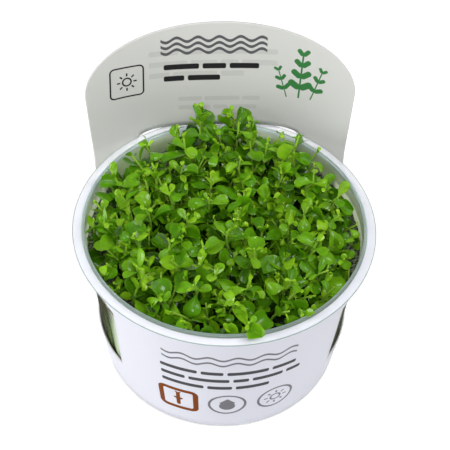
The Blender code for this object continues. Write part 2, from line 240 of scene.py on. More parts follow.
def cup_profile():
    """Radius and height from the middle of the foot, up the outside, over the rim and down the inside."""
    groove_start, groove_end = FOOT_GROOVE
    inner_top = CUP_TOP_RADIUS - BEAD_INSET
    edge = (RIM_TOP - FLANGE_UNDERSIDE) / 2
    ridge = BEAD_WIDTH / 4
    fillet = FLANGE_FILLET
    points = [(0, 0), (groove_start - GROOVE_SIDE, 0), (groove_start, GROOVE_DEPTH)]
    points += [(groove_end, GROOVE_DEPTH), (groove_end + GROOVE_SIDE, 0)]
    points += arc((CUP_FOOT_FLAT - OUTER_FOOT_INSET, CUP_FOOT_ROUND), CUP_FOOT_ROUND, -90, -8, 8)
    wall_top = FLANGE_UNDERSIDE - fillet
    points += [(cup_radius(height), height) for height in np.linspace(WALL_FOOT, wall_top, 12)]
    points += arc((CUP_TOP_RADIUS + fillet, wall_top), fillet, 180, 90, 5)[1:]
    points += arc((RIM_RADIUS - edge, RIM_TOP - edge), edge, -90, 90, 9)
    points += arc((inner_top + BEAD_WIDTH + BEAD_FILLET, RIM_TOP + BEAD_FILLET), BEAD_FILLET, -90, -180, 5)
    points += arc((inner_top + 3 * ridge, BEAD_TOP - ridge), ridge, 0, 150, 8)
    points += arc((inner_top + ridge, BEAD_TOP - ridge), ridge, 30, 180, 8)
    points += [(inner_top, RIM_UNDERSIDE + BEAD_CHAMFER[1]), (inner_top + BEAD_CHAMFER[0], RIM_UNDERSIDE)]
    points += [(cup_radius(height) - CUP_SKIN, height) for height in np.linspace(*INNER_WALL, 14)]
    points += inner_foot(CUP_FLOOR, -8, -90, 7)[1:]
    points += [(CUP_FLOOR_RING, CUP_FLOOR), (0, CUP_FLOOR)]
    return points


def lamp_lit(tree, shader, colour):
    """Lamps shine through a thin clear wall and leave no focused spots: shadow rays meet a tinted face."""
    ray = add_node(tree, "LightPath")
    open_way = add_node(tree, "BsdfTransparent", {"Color": linear(colour)})
    mixed = add_node(tree, "MixShader", links={0: ray.outputs["Is Shadow Ray"], 1: shader, 2: open_way})
    add_node(tree, "OutputMaterial", links={"Surface": mixed})


def polypropylene(name, colour, lamp_colour, settings):
    """Polypropylene sheet, drawn over a mould: a material that is the same all over."""
    made, tree = start_material(name)
    shader = add_node(tree, "BsdfPrincipled", {"Base Color": linear(colour), **settings})
    lamp_lit(tree, shader, lamp_colour)
    return made


def root_streaks(tree, spot):
    """Roots running up the gel at the wall: noise stretched about eight times in height, and its tones."""
    stretch = add_node(tree, "Mapping", {"Scale": (1, 1, 0.12)}, {"Vector": spot})
    roots = add_node(tree, "TexNoise", {"Scale": 1 / ROOT_SPACING, "Detail": 4.0, "Distortion": 0.4},
                     {"Vector": stretch})
    stops = [(0.38, "#29240f"), (0.47, "#2b2b13"), (0.56, "#374d17"), (0.66, "#54702e"), (0.76, "#8b9b6a")]
    return roots, add_node(tree, "ValToRGB", {"stops": stops}, {"Fac": roots})


def fogged_polypropylene():
    """The inside of the wall above the gel: roots and root dust in front, and a paler fog of water behind."""
    made, tree = start_material("Fogged polypropylene")
    spot = add_node(tree, "TexCoord").outputs["Object"]
    _, back, up = add_node(tree, "SeparateXYZ", links={0: spot}).outputs
    rise = add_node(tree, "MapRange", {"From Min": FOG_FOOT, "From Max": RIM_UNDERSIDE}, {"Value": up})
    stops = [(0, "#9fb380"), (0.65, "#b7cb96"), (1, "#cfdfb9")]
    haze = add_node(tree, "ValToRGB", {"stops": stops}, {"Fac": rise})
    grains = add_node(tree, "TexNoise", {"Scale": 1 / DUST_SPACING, "Detail": 3.0}, {"Vector": spot})
    low = add_node(tree, "MapRange", {"From Min": 0.6, "From Max": 0.1}, {"Value": rise})
    specks = add_node(tree, "MapRange", {"From Min": 0.5, "From Max": 0.6, "To Max": 0.8}, {"Value": grains})
    cover = add_node(tree, "Math", {"operation": "MULTIPLY"}, {0: specks, 1: low})
    dusted = add_node(tree, "Mix", {"data_type": "RGBA", 7: linear("#6d8048")}, {0: cover, 6: haze})
    behind = add_node(tree, "MapRange", {"From Min": ROOTS_END, "From Max": FOG_START}, {"Value": back})
    root_tones = root_streaks(tree, spot)[1]
    colour = add_node(tree, "Mix", {"data_type": "RGBA"}, {0: behind, 6: root_tones, 7: dusted})
    shader = add_node(tree, "BsdfPrincipled", {"Roughness": 0.45, "IOR": 1.2, "Transmission Weight": 0.5},
                      {"Base Color": colour})
    lamp_lit(tree, shader, "#dbe6d0")
    return made


points, faces = turned(cup_profile(), CUP_STEPS)
mesh = mesh_from("clear_cup", points, faces)
# Thin, the plastic is nearly colourless, a little milky and softly glossy. At the bead and the rim's edge the
# eye looks along the wall, and it is hazy and grey-green like the edge of glass; the bead's grey-green colour
# and the rim edge's darker grey-green are painted shade standing in for that look, the rim edge's as a
# painted dark line. Where the gel wets it, the join doesn't shine, and only a faint gloss is left.
hazy = {"Roughness": 0.3, "IOR": 1.3, "Transmission Weight": 0.6}
plastics = [
    polypropylene("Clear polypropylene", "#eff0f4", "#fafafc",
                  {"Roughness": 0.3, "IOR": 1.3, "Transmission Weight": 0.3, "Alpha": 0.75}),
    polypropylene("Bead polypropylene", "#b9cbc5", "#dbe8e0", hazy),
    polypropylene("Wetted polypropylene", "#eef4f0", "#f0f6f2",
                  {"Roughness": 0.1, "IOR": 1.2, "Transmission Weight": 1.0, "Alpha": 0.03}),
    fogged_polypropylene(),
    polypropylene("Rim edge polypropylene with painted dark line", "#7d958a", "#dbe8e0", hazy),
]
add_piece("clear_cup", mesh, plastics, ["cup"])
middles = np.empty(len(mesh.polygons) * 3, np.float32)
mesh.polygons.foreach_get("center", middles)
middles = middles.reshape(-1, 3)
reach = np.hypot(middles[:, 0], middles[:, 1])
height = middles[:, 2]
inside = (reach < cup_radius(height) - CUP_SKIN / 2) & (reach > CUP_FOOT_RADIUS)
kinds = np.select([
    height > BEAD_FOOT,
    reach > RIM_RADIUS - RIM_EDGE,
    (height > FOG_FOOT) & inside,
    height < WET_HEIGHT,
], [1, 4, 3, 2], 0)
mesh.polygons.foreach_set("material_index", kinds.astype(np.int32))


# Sleeve
# One die-cut sheet of white printed plastic, wrapped round the cup. It is a full ring at the foot, a label
# panel in front, a strip and a turned-in collar under the rim, and a tall arched board behind with a slot for
# the rim.
SHEET = 0.5 * MM
SLEEVE_FOOT = 0.9 * MM
SLEEVE_FOOT_RADIUS = 39.75 * MM
SLEEVE_TOP = 56.6 * MM
SLEEVE_TOP_RADIUS = 48.55 * MM
SLEEVE_SLOPE = (SLEEVE_TOP_RADIUS - SLEEVE_FOOT_RADIUS) / (SLEEVE_TOP - SLEEVE_FOOT)
COLLAR_UNDERSIDE = FLANGE_UNDERSIDE - 0.05 * MM - SHEET
COLLAR_INNER_RADIUS = 46.95 * MM
COLLAR_FOLD = (0.25 * MM, 0.3 * MM)
WINDOW_SILL = 17.5 * MM
WINDOW_HEAD = 54.9 * MM
WINDOW_CHAMFER = 3.0 * MM
WINDOW_HEAD_ANGLE = math.radians(49.5)
WINDOW_SILL_ANGLE = math.radians(54)
WINDOW_CHAMFER_ANGLE = math.radians(4.5)
STRIP_END_ANGLE = math.radians(52)
SLOT_COLUMNS = 21
BOARD_SIDE_COLUMNS = 15
WINDOW_COLUMNS = 22
STRIP_COLUMNS = 28
FRONT_COLUMNS = 26
RING_ROWS = 5
BRIDGE_ROWS = 11
PANEL_ROWS = 13
BOARD_FACE = 45.6 * MM
BOARD_LEAN = 0.22
BOARD_HALF_WIDTH = 43.45 * MM
BOARD_WIDENING = 0.104
BOARD_SILL_HALF_WIDTH = 39.2 * MM
BOARD_SIDE_TOP = 77.0 * MM
BOARD_CROWN = 98.9 * MM
BOARD_SAG = (8.7 * MM, 6.3 * MM)
BOARD_FLATNESS = (3.4, 2.2)
BOARD_BULGE = 2.7 * MM
BOARD_LOWEST_RISE = -0.2
BOARD_ROWS = 26
BOARD_ROW_POWER = 1.3
MERGE_DISTANCE = 0.002 * MM
MIRROR_MERGE_DISTANCE = 0.01 * MM
SLOT_FLOOR = 52.6 * MM
SLOT_END_HEIGHT = 55.8 * MM
SLOT_HEAD = 59.7 * MM
SLOT_HEAD_DROP = 1.2 * MM
SLOT_SHARE = 0.648
SLOT_SQUARENESS = 8
LABEL_RADIUS = 44
INK_EDGE = 0.06
GHOST = 0.12
MOTTLE_SPACING = 1.5 * MM
MOTTLE_DEPTH = 0.02 * MM
BLACK_INK = "#2b2b2d"
GREY_INK = "#606064"
PALE_BLACK_INK = "#47474b"
PALE_GREY_INK = "#727277"
BROWN_INK = "#783a00"
GREEN_INK = "#3f8148"


def cone_points(angles, height, radius=None):
    """Points of the sleeve's cone at angles from the middle of the back: radius grows evenly with height."""
    if radius is None:
        radius = SLEEVE_FOOT_RADIUS + SLEEVE_SLOPE * (height - SLEEVE_FOOT)
    return np.stack([radius * np.sin(angles), radius * np.cos(angles), height + 0 * angles], -1)


def board_points(share, height):
    """Points of the board's front face, at a share of its half width and a height.

    The face leans back evenly, its sides come forward by a power of the distance from the middle, and the
    cup's wall pushes it out below the slot by a parabola.
    """
    rise = np.clip((height - RIM_TOP) / (BOARD_CROWN - RIM_TOP), BOARD_LOWEST_RISE, 1)
    sag = BOARD_SAG[0] + (BOARD_SAG[1] - BOARD_SAG[0]) * rise
    flatness = BOARD_FLATNESS[0] + (BOARD_FLATNESS[1] - BOARD_FLATNESS[0]) * rise
    across = share * (BOARD_HALF_WIDTH + BOARD_WIDENING * (height - RIM_TOP))
    low = np.clip((SLOT_HEAD - height) / (SLOT_HEAD - SLOT_FLOOR), 0, 1)
    bulge = BOARD_BULGE * low * np.maximum(1 - (share / SLOT_SHARE) ** 2, 0)
    face = BOARD_FACE + BOARD_LEAN * (height - SLOT_HEAD) + bulge
    return np.stack([across, face - sag * (np.abs(across) / BOARD_HALF_WIDTH) ** flatness, height], -1)


def slot_edges(share):
    """Heights of the slot's lower and upper edge: both close in a superellipse at the slot's end."""
    along = np.minimum(share / SLOT_SHARE, 1)
    closing = (1 - along**SLOT_SQUARENESS) ** 0.5
    arch = SLOT_HEAD - SLOT_HEAD_DROP * along**2
    floor = SLOT_END_HEIGHT - (SLOT_END_HEIGHT - SLOT_FLOOR) * closing
    return floor, SLOT_END_HEIGHT + (arch - SLOT_END_HEIGHT) * closing


def grid_faces(rows, columns):
    """Quads of a grid whose points are listed row by row."""
    here = (np.arange(rows - 1)[:, None] * columns + np.arange(columns - 1)).ravel()
    return np.stack([here, here + columns, here + columns + 1, here + 1], -1)


def sleeve_mesh():
    """Half of the sheet as grids between its edges. Modifiers mirror it and lay its thickness on outside."""
    slot_end = math.asin(SLOT_SHARE)
    shares = np.concatenate([
        SLOT_SHARE * np.sin(np.linspace(0, math.pi / 2, SLOT_COLUMNS + 1)),
        np.sin(np.linspace(slot_end, math.pi / 2, BOARD_SIDE_COLUMNS + 1))[1:],
    ])
    sill_radius = SLEEVE_FOOT_RADIUS + SLEEVE_SLOPE * (WINDOW_SILL - SLEEVE_FOOT)
    board_angles = np.arcsin(shares * BOARD_SILL_HALF_WIDTH / sill_radius)
    sill_corner = math.pi - WINDOW_SILL_ANGLE
    head_corner = math.pi - WINDOW_HEAD_ANGLE
    sill_angles = np.linspace(board_angles[-1], sill_corner, WINDOW_COLUMNS + 1)
    panel_angles = np.linspace(sill_corner, math.pi, FRONT_COLUMNS + 1)
    strip_angles = np.linspace(STRIP_END_ANGLE, head_corner - WINDOW_CHAMFER_ANGLE, STRIP_COLUMNS + 1)
    front_angles = np.linspace(head_corner, math.pi, FRONT_COLUMNS + 1)
    ring = np.concatenate([board_angles, sill_angles[1:], panel_angles[1:]])
    upper = np.concatenate([strip_angles, front_angles])
    floor, head = slot_edges(shares)
    sill = cone_points(board_angles, WINDOW_SILL)
    bridge = board_points(shares, floor)
    top = BOARD_SIDE_TOP + (BOARD_CROWN - BOARD_SIDE_TOP) * np.sqrt(1 - shares**2)
    parts = 1 - (1 - np.linspace(0, 1, BOARD_ROWS + 1)) ** BOARD_ROW_POWER
    shoulder = WINDOW_HEAD - WINDOW_CHAMFER
    fold_width, fold_height = COLLAR_FOLD

    # the ring, the board below its slot and above it, the label panel and its head, then the strip and collar
    grids = [
        [cone_points(ring, height) for height in np.linspace(SLEEVE_FOOT, WINDOW_SILL, RING_ROWS + 1)],
        [sill + (bridge - sill) * part for part in np.linspace(0, 1, BRIDGE_ROWS + 1)],
        [board_points(shares, head + (top - head) * part) for part in parts],
        [
            cone_points(panel_angles + (front_angles - panel_angles) * part,
                        WINDOW_SILL + (shoulder - WINDOW_SILL) * part)
            for part in np.linspace(0, 1, PANEL_ROWS + 1)
        ],
        [cone_points(front_angles, height) for height in (shoulder, WINDOW_HEAD)],
        [
            cone_points(upper, WINDOW_HEAD),
            cone_points(upper, COLLAR_UNDERSIDE - fold_height),
            cone_points(upper, COLLAR_UNDERSIDE, SLEEVE_TOP_RADIUS - fold_width),
            cone_points(upper, COLLAR_UNDERSIDE, COLLAR_INNER_RADIUS),
        ],
    ]
    chamfer = [
        cone_points(front_angles[:1], shoulder),
        cone_points(strip_angles[-1:], WINDOW_HEAD),
        cone_points(front_angles[:1], WINDOW_HEAD),
    ]
    starts = np.cumsum([0] + [len(grid) * len(grid[0]) for grid in grids])
    faces = [start + grid_faces(len(grid), len(grid[0])) for grid, start in zip(grids, starts)]
    faces.append(starts[-1] + np.array([[0, 1, 2]]))
    points = np.concatenate([row for grid in (*grids, chamfer) for row in grid])
    mesh = mesh_from("printed_sleeve", points, faces)

    # the grids share their edges, so their doubled points are merged
    sheet = bmesh.new()
    sheet.from_mesh(mesh)
    bmesh.ops.remove_doubles(sheet, verts=sheet.verts, dist=MERGE_DISTANCE)
    sheet.to_mesh(mesh)
    sheet.free()
    mesh.set_sharp_from_angle(angle=math.radians(SHARP_DEGREES))
    return mesh


def mark(tree, spot, centre, half, corner, angle=0.0, line=0.0):
    """Mask of a printed mark: a rectangle with round corners, in mm, turned by an angle in degrees.

    It is set where the distance to the inner rectangle is less than the corner's radius. A line's width makes
    it an outline. Equal half sizes and corner make a disc, or a ring.
    """
    local = add_node(tree, "Mapping", {
        "vector_type": "TEXTURE",
        "Location": (*centre, 0),
        "Rotation": (0, 0, math.radians(angle)),
    }, {"Vector": spot})
    folded = add_node(tree, "VectorMath", {"operation": "ABSOLUTE"}, {0: local})
    inner = (half[0] - corner, half[1] - corner, 0)
    past = add_node(tree, "VectorMath", {"operation": "SUBTRACT", 1: inner}, {0: folded})
    outside = add_node(tree, "VectorMath", {"operation": "MAXIMUM", 1: (0, 0, 0)}, {0: past})
    edge = add_node(tree, "VectorMath", {"operation": "LENGTH"}, {0: outside})
    reach = corner
    if line:
        shifted = add_node(tree, "Math", {"operation": "SUBTRACT", 1: corner}, {0: edge})
        edge = add_node(tree, "Math", {"operation": "ABSOLUTE"}, {0: shifted})
        reach = line / 2
    return within(tree, edge, reach)


def within(tree, distance, reach):
    """Mask that is set where a distance is less than a reach, with a soft edge."""
    limits = {"From Min": reach + INK_EDGE, "From Max": reach - INK_EDGE}
    return add_node(tree, "MapRange", limits, {"Value": distance})


def wave(tree, spot, centre, half_width, height, length, line):
    """Mask of a printed wave: the distance in height from a sine of the place across, inside a width."""
    across, up, _ = add_node(tree, "SeparateXYZ", links={0: spot}).outputs
    shifted = add_node(tree, "Math", {"operation": "SUBTRACT", 1: centre[0]}, {0: across})
    phase = add_node(tree, "Math", {"operation": "MULTIPLY", 1: math.tau / length}, {0: shifted})
    swing = add_node(tree, "Math", {"operation": "SINE"}, {0: phase})
    crest = add_node(tree, "Math", {"operation": "MULTIPLY_ADD", 1: height, 2: centre[1]}, {0: swing})
    off_crest = add_node(tree, "Math", {"operation": "SUBTRACT"}, {0: up, 1: crest})
    above = add_node(tree, "Math", {"operation": "ABSOLUTE"}, {0: off_crest})
    aside = add_node(tree, "Math", {"operation": "ABSOLUTE"}, {0: shifted})
    masks = {0: within(tree, above, line / 2), 1: within(tree, aside, half_width)}
    return add_node(tree, "Math", {"operation": "MULTIPLY"}, masks)


def ink(tree, under, colour, masks, strength=1.0):
    """A colour laid over another where any of the masks is set."""
    joined = masks[0]
    for other in masks[1:]:
        joined = add_node(tree, "Math", {"operation": "MAXIMUM"}, {0: joined, 1: other})
    cover = add_node(tree, "Math", {"operation": "MULTIPLY", 1: strength}, {0: joined})
    return add_node(tree, "Mix", {"data_type": "RGBA", 7: linear(colour)}, {0: cover, 6: under})


def rows_of_dashes(tree, spot, left, top, rows, height, pitch):
    """Masks of rows of dashes: each row is a list of dash lengths with even gaps."""
    masks = []
    for row, lengths in enumerate(rows):
        across = left
        for length in lengths:
            centre = (across + length / 2, top - row * pitch)
            masks.append(mark(tree, spot, centre, (length / 2, height / 2), height * 0.3))
            across += length + height * 0.6
    return masks


def sun_sign(tree, spot, centre, size):
    """Masks of a sun: a ring with eight short rays."""
    masks = [mark(tree, spot, centre, (size * 0.42, size * 0.42), size * 0.42, line=size * 0.16)]
    for angle in range(0, 360, 45):
        away = np.array([math.cos(math.radians(angle)), math.sin(math.radians(angle))])
        ray = np.array(centre) + size * 0.82 * away
        masks.append(mark(tree, spot, ray, (size * 0.18, size * 0.08), size * 0.08, angle))
    return masks


def sprout_sign(tree, spot, foot, height, pairs, lean=0.0, line=0.018):
    """Masks of a drawn sprout: a thin stem, and opposite leaves that shorten and spread upwards."""
    foot = np.array(foot)
    stem = height * np.array([math.sin(math.radians(lean)), math.cos(math.radians(lean))])
    masks = [mark(tree, spot, foot + stem / 2, (height * line, height / 2), height * line, -lean)]
    for pair in range(pairs):
        share = (pair + 0.9) / pairs
        leaf = height * (0.3 - 0.13 * share)
        for side in (-1, 1):
            away = math.radians(90 + side * (62 - 22 * share) - lean)
            middle = foot + stem * share + leaf / 2 * np.array([-side * abs(math.cos(away)), math.sin(away)])
            masks.append(mark(tree, spot, middle, (leaf / 2, leaf * 0.26), leaf * 0.25, math.degrees(away)))
    return masks


def drop_sign(tree, spot, centre, size):
    """Masks of a drop of water: a disc with a turned square as its point."""
    tip = (centre[0], centre[1] + size * 0.32)
    return [
        mark(tree, spot, centre, (size * 0.42, size * 0.42), size * 0.42),
        mark(tree, spot, tip, (size * 0.3, size * 0.3), size * 0.04, 45),
    ]


def sheet_places(tree):
    """The object's place, and places in mm: across and up on the board, and round and up on the label."""
    spot = add_node(tree, "TexCoord").outputs["Object"]
    scaled = add_node(tree, "VectorMath", {"operation": "SCALE", "Scale": 1 / MM}, {0: spot})
    across, back, up = add_node(tree, "SeparateXYZ", links={0: scaled}).outputs
    board = add_node(tree, "CombineXYZ", links={0: across, 1: up})
    forward = add_node(tree, "Math", {"operation": "MULTIPLY", 1: -1.0}, {0: back})
    angle = add_node(tree, "Math", {"operation": "ARCTAN2"}, {0: across, 1: forward})
    around = add_node(tree, "Math", {"operation": "MULTIPLY", 1: LABEL_RADIUS}, {0: angle})
    label = add_node(tree, "CombineXYZ", links={0: around, 1: up})
    return spot, board, label


def board_back_print(tree, board, under, strength=1.0):
    """The back of the board: two blocks of dashes."""
    masks = rows_of_dashes(tree, board, -24, 88, [[10, 7, 14, 9], [13, 9, 6, 12], [7, 15, 8]], 2.0, 4.2)
    masks += rows_of_dashes(tree, board, -14, 70, [[8, 12, 6], [11, 5, 9]], 1.6, 3.4)
    return ink(tree, under, BLACK_INK, masks, strength)


def outside_print(tree, board, label, under):
    """The outside: waves, dashes, two ringed signs and a framed one on the label, and dashes on the board."""
    greys = [wave(tree, label, (0, 46 + step), 21, 0.9, 8.4, 1.1) for step in (-1.7, 1.7)]
    greys += [mark(tree, label, (across, 16.5), (6.2, 6.2), 6.2, line=0.9) for across in (0, 17)]
    greys += drop_sign(tree, label, (0, 15.6), 6.6)
    greys += sun_sign(tree, label, (17, 16.5), 4.2)
    shade = ink(tree, under, PALE_GREY_INK, greys)
    browns = [mark(tree, label, (-17, 16.5), (6.2, 6.2), 1.8, line=1.9)]
    browns += sprout_sign(tree, label, (-17, 12.4), 8.2, 2, line=0.09)
    shade = ink(tree, shade, BROWN_INK, browns)
    rows = [[12, 7, 13, 8], [8, 13, 5, 10, 5], [14, 8, 11]]
    shade = ink(tree, shade, PALE_BLACK_INK, rows_of_dashes(tree, label, -22, 38, rows, 2.0, 4.8))
    return board_back_print(tree, board, shade)


def inside_print(tree, board, label, under):
    """The board's front: waves, dashes, a framed sun and drawn sprouts, over the back's dashes as a ghost."""
    shade = board_back_print(tree, board, under, GHOST)
    greys = [wave(tree, board, (-2, 90.5 + step), 18, 0.8, 7.2, 1.1) for step in (-2.2, 0, 2.2)]
    shade = ink(tree, shade, GREY_INK, greys)
    blacks = rows_of_dashes(tree, board, -19, 82.5, [[12, 8, 10], [7, 11]], 2.0, 4.4)
    blacks += [mark(tree, board, (-31.5, 79), (5.6, 5.6), 1.4, line=0.55)]
    blacks += sun_sign(tree, board, (-31.5, 79), 3.4)
    shade = ink(tree, shade, BLACK_INK, blacks)
    greens = sprout_sign(tree, board, (27, 71), 17, 4, 4)
    greens += sprout_sign(tree, board, (31, 71), 12, 3, 18)
    greens += sprout_sign(tree, board, (23, 71), 11, 3, -16)
    return ink(tree, shade, GREEN_INK, greens)


def close_material(tree, settings, colour, height, strength, depth):
    """Joins a Principled shader to the material's output, with a colour and a relief from a height."""
    relief = add_node(tree, "Bump", {"Strength": strength, "Distance": depth}, {"Height": height})
    shader = add_node(tree, "BsdfPrincipled", settings, {"Base Color": colour, "Normal": relief})
    add_node(tree, "OutputMaterial", links={"Surface": shader})


def white_sheet(name, colour, printed):
    """White polypropylene sheet, calendered and printed: a faint satin gloss and a fine mottle.

    The real mottle is too fine to show, so this one is drawn coarser.
    """
    made, tree = start_material(name)
    spot, board, label = sheet_places(tree)
    bare = add_node(tree, "RGB")
    bare.outputs[0].default_value = linear(colour)
    mottle = add_node(tree, "TexNoise", {"Scale": 1 / MOTTLE_SPACING, "Detail": 3.0}, {"Vector": spot})
    close_material(tree, {"Roughness": 0.34, "IOR": 1.49, "Specular IOR Level": 0.02},
                   printed(tree, board, label, bare), mottle, 0.05, MOTTLE_DEPTH)
    return made


sheets = [
    white_sheet("Label face", "#d6d7e0", outside_print),
    white_sheet("Board face", "#dbdbd8", inside_print),
]
sleeve = add_piece("printed_sleeve", sleeve_mesh(), sheets, ["sleeve"])
other_side = sleeve.modifiers.new("Other side", "MIRROR")
other_side.merge_threshold = MIRROR_MERGE_DISTANCE
thickness = sleeve.modifiers.new("Sheet", "SOLIDIFY")
thickness.thickness = SHEET
thickness.offset = 1
thickness.use_even_offset = True
thickness.material_offset = 1
thickness.material_offset_rim = 1


# Growing medium
# A plug of dark gel and fibre that the roots have grown through. It was poured into the cup and set there, so
# its side is smooth against the wall, and its top is rough and full of cut roots.
MEDIUM_TOP = 44.0 * MM
MEDIUM_CLEAR = CUP_SKIN + 0.05 * MM
MEDIUM_FOOT = CUP_FLOOR + 0.05 * MM
MEDIUM_FLAT = 30 * MM
MEDIUM_SIDE_FOOT = 3 * MM
MEDIUM_SHOULDER = 0.4 * MM
MEDIUM_STEPS = 160
PALE_GEL_START = math.radians(57)
PALE_GEL_END = math.radians(62)
GEL_PAINTED_SHADE_END = math.radians(70)
CRUMB_SPACING = 0.8 * MM
CRUMB_DEPTH = 0.4 * MM
CRUMB_START = MEDIUM_TOP - 1.6 * MM
CRUMB_END = MEDIUM_TOP - 0.8 * MM


def medium_points():
    """A turned plug whose top is raised by three sets of crossed sine waves, each finer than the last."""
    edge = cup_radius(MEDIUM_TOP) - MEDIUM_CLEAR
    profile = [(0, MEDIUM_FOOT), (MEDIUM_FLAT, MEDIUM_FOOT)]
    profile += inner_foot(MEDIUM_FOOT, -90, -8, 6)
    heights = np.linspace(MEDIUM_SIDE_FOOT, MEDIUM_TOP - MM, 16)
    profile += [(cup_radius(height) - MEDIUM_CLEAR, height) for height in heights]
    profile += [(radius, MEDIUM_TOP) for radius in np.linspace(edge - MEDIUM_SHOULDER, 0, 44)]
    points, faces = turned(profile, MEDIUM_STEPS)
    x, y = points[:, 0], points[:, 1]
    waves = 0.7 * np.sin(math.tau * x / (44 * MM)) * np.cos(math.tau * y / (56 * MM))
    waves += 0.35 * np.sin(x / (1.9 * MM) + 2 * np.sin(y / (5 * MM))) * np.sin(y / (2.3 * MM))
    waves += 0.18 * np.sin(x / (0.7 * MM) + np.sin(y / (1.1 * MM))) * np.sin(y / (0.6 * MM) + 1)
    top = points[:, 2] > MEDIUM_TOP - 0.5 * MM
    points[top, 2] += waves[top] * MM
    return points, faces


def rooted_gel():
    """Dark set gel with fibre: brown at the wall, with green and pale roots up it, and crumbly on top.

    It is paler in streaks just beyond the label's edge, and painted shade darkens it further round from the
    front.
    """
    made, tree = start_material("Rooted gel")
    spot = add_node(tree, "TexCoord").outputs["Object"]
    across, back, up = add_node(tree, "SeparateXYZ", links={0: spot}).outputs
    forward = add_node(tree, "Math", {"operation": "MULTIPLY", 1: -1.0}, {0: back})
    aside = add_node(tree, "Math", {"operation": "ABSOLUTE"}, {0: across})
    turn = add_node(tree, "Math", {"operation": "ARCTAN2"}, {0: aside, 1: forward})
    near_label = add_node(tree, "MapRange", {
        "From Min": PALE_GEL_END,
        "From Max": PALE_GEL_START,
        "To Max": 0.9,
    }, {"Value": turn})
    roots, root_tones = root_streaks(tree, spot)
    between = add_node(tree, "MapRange", {"From Min": 0.4, "From Max": 0.55, "To Min": 0.4}, {"Value": roots})
    pale = add_node(tree, "Math", {"operation": "MULTIPLY"}, {0: near_label, 1: between})
    side = add_node(tree, "Mix", {"data_type": "RGBA", 7: linear("#cfdabd")}, {0: pale, 6: root_tones})
    # Painted shade: from 62 degrees round from the front the gel's side is darkened towards a near-black
    # olive.
    painted_shade_share = add_node(tree, "MapRange", {
        "From Min": PALE_GEL_END,
        "From Max": GEL_PAINTED_SHADE_END,
        "To Max": 0.7,
    }, {"Value": turn})
    gel_and_painted_shade = add_node(tree, "Mix", {"data_type": "RGBA", 7: linear("#2f2d16")}, {0: painted_shade_share, 6: side})
    grains = add_node(tree, "TexNoise", {"Scale": 1 / CRUMB_SPACING, "Detail": 3.0}, {"Vector": spot})
    crumbs = add_node(tree, "ValToRGB", {"stops": [(0.42, "#2b261c"), (0.62, "#a3a291")]}, {"Fac": grains})
    top = add_node(tree, "MapRange", {"From Min": CRUMB_START, "From Max": CRUMB_END}, {"Value": up})
    colour = add_node(tree, "Mix", {"data_type": "RGBA"}, {0: top, 6: gel_and_painted_shade, 7: crumbs})
    settings = {"Roughness": 0.6, "IOR": 1.35, "Specular IOR Level": 0.0}
    close_material(tree, settings, colour, grains, 0.6, CRUMB_DEPTH)
    return made


points, faces = medium_points()
add_piece("rooted_medium", mesh_from("rooted_medium", points, faces), [rooted_gel()],
          ["growing_medium"])


# Plant
# A creeping herb grown in a mat. Each shoot is a pale stem with small round leaves in opposite pairs, each
# pair a quarter turn from the last. The leaves are soft, glossy and slightly cupped, with a fine pale margin.
CANOPY_FRONT = 62.0 * MM
CANOPY_CROWN = 2.5 * MM
CANOPY_BACK_RISE = 9.0 * MM
CANOPY_BACK_START = 4 * MM
CANOPY_BACK_LENGTH = 34 * MM
CANOPY_BACK_CURVE = 1.5
CANOPY_RADIUS = 44.0 * MM
STEM_BEND = 1.4
STEM_RINGS = 9
STEM_SIDES = 6
STEM_RADIUS = 0.5 * MM
LEAF_STATIONS = np.array([0.0, 0.1, 0.24, 0.42, 0.62, 0.8, 0.93])
LEAF_ACROSS = np.array([1, 0.55, 0, -0.55, -1, -0.55, 0, 0.55])
LEAF_FACE = np.array([0, 1, 1, 1, 0, -1, -1, -1])
LEAF_THICKNESS = 0.34 * MM
THIN_LEAF_WIDTH = 3 * MM
LEAF_STALK = 0.12
LEAF_SHARP_DEGREES = 75
LEAF_LENGTH = 7.8 * MM
INTERNODE = 5.2 * MM
BUD_LENGTH = 0.14
GROWING_AGE = 1.35
OPENING_AGE = 1.8
OLD_AGE = 4.5
AGE_SPREAD = 0.12
STEM_STEP = 0.02
STEM_UPWARD = 0.3
TURN_SPREAD = 0.16
LENGTH_SPREAD = 0.13
LENGTH_LIMITS = (0.6, 1.3)
WIDTH_SHARE = 0.57
WIDTH_GAIN = 0.03
WIDTH_SPREAD = 0.12
OPEN_RISE = 20
BUD_RISE = 52
RISE_SPREAD = 0.36
LEAF_OVERHANG = 4.0 * MM
OVERHANG_FOOT = BEAD_TOP + 0.1 * MM
OVERHANG_RISE = 0.8 * MM
LEAF_CLEAR = 1.2 * MM
BOARD_CLEAR = 0.5 * MM
LEAF_CLOUD = 2.5 * MM
LEAF_GRAIN = 0.6 * MM
LEAF_GRAIN_DEPTH = 0.12 * MM
LEAF_SCATTER = 0.5 * MM
STEM_SCATTER = 0.8 * MM
LEAF_DRAWS = (
    ("arch", 0.7, 0.6),
    ("sweep", 0, 0.08),
    ("twist", 0, 0.6),
    ("cup", 0.1, 0.4),
    ("fold", 0.24, 0.18),
)


def canopy(x, y):
    """Height of the canopy: a dome by the square of the radius, and a rise to the board by a power."""
    radius = np.minimum(np.hypot(x, y) / CANOPY_RADIUS, 1)
    back_share = np.clip((y - CANOPY_BACK_START) / CANOPY_BACK_LENGTH, 0, 1)
    return CANOPY_FRONT + CANOPY_CROWN * (1 - radius**2) + CANOPY_BACK_RISE * back_share**CANOPY_BACK_CURVE


def unit(vectors):
    """Vectors scaled to length one."""
    return vectors / np.linalg.norm(vectors, axis=-1, keepdims=True)


def leaf_width(along):
    """Half width of a leaf as a share of its widest.

    The blade is a power of the way from its foot times a power of the way to its tip. The stalk just tapers.
    """
    blade = np.clip((along - LEAF_STALK) / (1 - LEAF_STALK), 0, 1)
    outline = blade**0.95 * (1 - blade) ** 0.5 / (0.655**0.95 * 0.345**0.5)
    return np.maximum(outline, 0.18 * (1 - along) ** 0.3)


